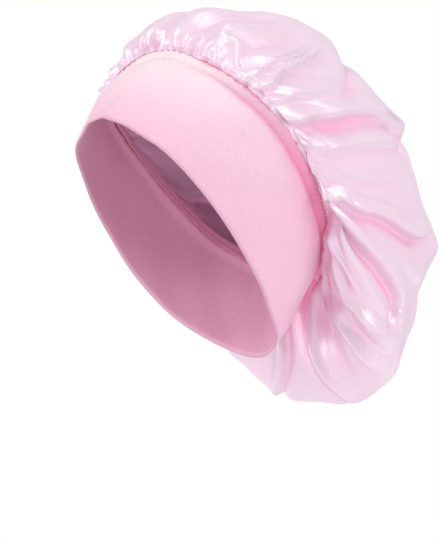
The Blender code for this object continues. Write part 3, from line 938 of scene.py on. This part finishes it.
def threadMaterial(name, tone):
    material, tree, shader = nodeSetup(name)
    nodes, links = tree.nodes, tree.links
    shader.inputs["Roughness"].default_value = 0.6
    where = nodes.new("ShaderNodeTexCoord")
    twist = nodes.new("ShaderNodeTexNoise")
    twist.inputs["Scale"].default_value = 900
    links.new(where.outputs["Object"], twist.inputs["Vector"])
    mix = nodes.new("ShaderNodeMix")
    mix.data_type = "RGBA"
    mix.inputs["A"].default_value = tone
    mix.inputs["B"].default_value = [value * 0.75 for value in tone[:3]] + [1]
    links.new(twist.outputs["Fac"], mix.inputs["Factor"])
    links.new(mix.outputs["Result"], shader.inputs["Base Color"])
    return material


print("seam: sewing the stitches")
stitches = seamStitches()
stitches.data.materials.append(threadMaterial("seamShadowThread", stitchMake["shadowTone"]))
stitches.data.materials.append(threadMaterial("seamThread", stitchMake["threadTone"]))
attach(stitches, "root")

# floor, light and camera

stageMake = {
    "floorDrop": -0.42,
    "floorRadius": 1.4,
    "fadeFrom": 0.6,       # where the floor begins to melt into the white backdrop
    "fadeTo": 1.25,
    "floorTone": (0.93, 0.92, 0.92, 1),
    "roomLight": 0.72,
    "lightsAim": (0, 0.03, 0.02),
}

floorMesh = bmesh.new()
bmesh.ops.create_circle(floorMesh, cap_ends=True, segments=96, radius=stageMake["floorRadius"])
bmesh.ops.translate(floorMesh, verts=floorMesh.verts[:], vec=(0, 0, stageMake["floorDrop"]))
floorData = bpy.data.meshes.new("floor")
floorMesh.to_mesh(floorData)
floorMesh.free()
floor = bpy.data.objects.new("floor", floorData)
scene.collection.objects.link(floor)
floorMaterial, floorTree, floorShader = nodeSetup("paleFloor")
floorShader.inputs["Roughness"].default_value = 0.7
floorShader.inputs["Emission Color"].default_value = (1, 1, 1, 1)
floorNodes, floorLinks = floorTree.nodes, floorTree.links
floorWhere = floorNodes.new("ShaderNodeTexCoord")
floorOut = floorNodes.new("ShaderNodeVectorMath")
floorOut.operation = "LENGTH"
floorLinks.new(floorWhere.outputs["Object"], floorOut.inputs[0])
floorFade = floorNodes.new("ShaderNodeMapRange")
floorFade.interpolation_type = "SMOOTHSTEP"
floorFade.inputs["From Min"].default_value = stageMake["fadeFrom"]
floorFade.inputs["From Max"].default_value = stageMake["fadeTo"]
floorLinks.new(floorOut.outputs["Value"], floorFade.inputs["Value"])
floorLinks.new(floorFade.outputs["Result"], floorShader.inputs["Emission Strength"])
floorTone = floorNodes.new("ShaderNodeMix")
floorTone.data_type = "RGBA"
floorTone.inputs["A"].default_value = stageMake["floorTone"]
floorTone.inputs["B"].default_value = (0, 0, 0, 1)
floorLinks.new(floorFade.outputs["Result"], floorTone.inputs["Factor"])
floorLinks.new(floorTone.outputs["Result"], floorShader.inputs["Base Color"])
floorData.materials.append(floorMaterial)

world = bpy.data.worlds.new("studio")
world.use_nodes = True
scene.world = world
worldNodes, worldLinks = world.node_tree.nodes, world.node_tree.links
backdrop = worldNodes["Background"]
backdrop.inputs["Color"].default_value = (1, 1, 1, 1)
ray = worldNodes.new("ShaderNodeLightPath")
strength = worldNodes.new("ShaderNodeMapRange")
strength.inputs["To Min"].default_value = stageMake["roomLight"]
strength.inputs["To Max"].default_value = 1.0
worldLinks.new(ray.outputs["Is Camera Ray"], strength.inputs["Value"])
worldLinks.new(strength.outputs["Result"], backdrop.inputs["Strength"])


studioLights = (
    # name, where, power, size
    ("keyLight", (-0.25, -1.70, 1.10), 13, (0.5, 1.6)),
    ("sideLight", (1.80, -0.10, 0.55), 6, (0.16, 0.9)),
    ("backLight", (1.25, 0.80, 1.05), 6, (0.30, 1.2)),
    ("topLight", (0.30, 0.40, 1.60), 1.8, (0.8, 0.3)),
    ("lowLight", (-0.70, -1.20, -0.55), 7, (0.9, 0.9)),
)


def areaLight(name, where, power, size):
    data = bpy.data.lights.new(name, "AREA")
    data.energy = power
    data.shape = "RECTANGLE"
    data.size, data.size_y = size
    lamp = bpy.data.objects.new(name, data)
    lamp.location = where
    aim = Vector(stageMake["lightsAim"]) - Vector(where)
    lamp.rotation_euler = aim.to_track_quat("-Z", "Y").to_euler()
    scene.collection.objects.link(lamp)


for light in studioLights:
    areaLight(*light)

cameraMake = {
    "azimuth": 48,
    "distance": 1.8,
    "sensor": 36,
    "metresAcross": 0.00075,   # one pixel at the head's middle
    "imageSize": (440, 543),
    "middleAt": (202, 243),    # where the head's middle falls in the picture
}
turnAngle = math.radians(cameraMake["azimuth"])
viewBack = Vector((math.sin(turnAngle), -math.cos(turnAngle), 0))
cameraData = bpy.data.cameras.new("camera")
camera = bpy.data.objects.new("camera", cameraData)
scene.collection.objects.link(camera)
camera.location = viewBack * cameraMake["distance"]
camera.rotation_mode = "QUATERNION"
camera.rotation_quaternion = (-viewBack).to_track_quat("-Z", "Y")
imageWide, imageHigh = cameraMake["imageSize"]
cameraData.sensor_width = cameraMake["sensor"]
cameraData.lens = (cameraMake["sensor"] * cameraMake["distance"]
                   / (imageHigh * cameraMake["metresAcross"]))
cameraData.shift_x = (imageWide / 2 - cameraMake["middleAt"][0]) / imageHigh
cameraData.shift_y = (cameraMake["middleAt"][1] - imageHigh / 2) / imageHigh
scene.camera = camera

print("done")
